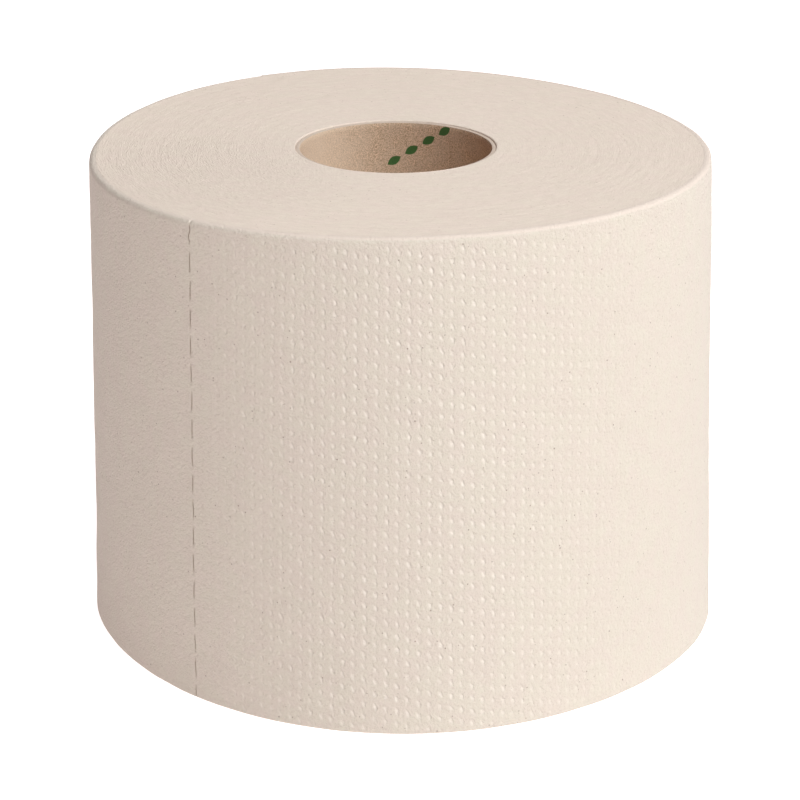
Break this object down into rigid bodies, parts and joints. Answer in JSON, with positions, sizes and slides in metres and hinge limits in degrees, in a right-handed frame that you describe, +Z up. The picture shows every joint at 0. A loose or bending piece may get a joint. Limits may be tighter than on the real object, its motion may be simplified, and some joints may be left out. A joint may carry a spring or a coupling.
{
  "type": "toilet paper roll",
  "caption": "Round roll of embossed unbleached tissue wound on a paperboard tube, standing on its end, with an open bore for a holder's spindle.",
  "frame": {"origin": "middle of the bottom end face, on the axis of the roll", "axes": "+Z up the axis of the tube, -Y towards the viewer's side of the outer turn, which carries a perforated line to its left"},
  "size_m": [0.1196, 0.1198, 0.095],
  "materials": {
    "tissue": "soft matt unbleached tissue, embossed all over with small pits",
    "tube_board": "matt brown greyboard"
  },
  "bodies": {
    "root": {"paper_roll": "tissue", "core_tube": "tube_board"}
  },
  "joints": []
}
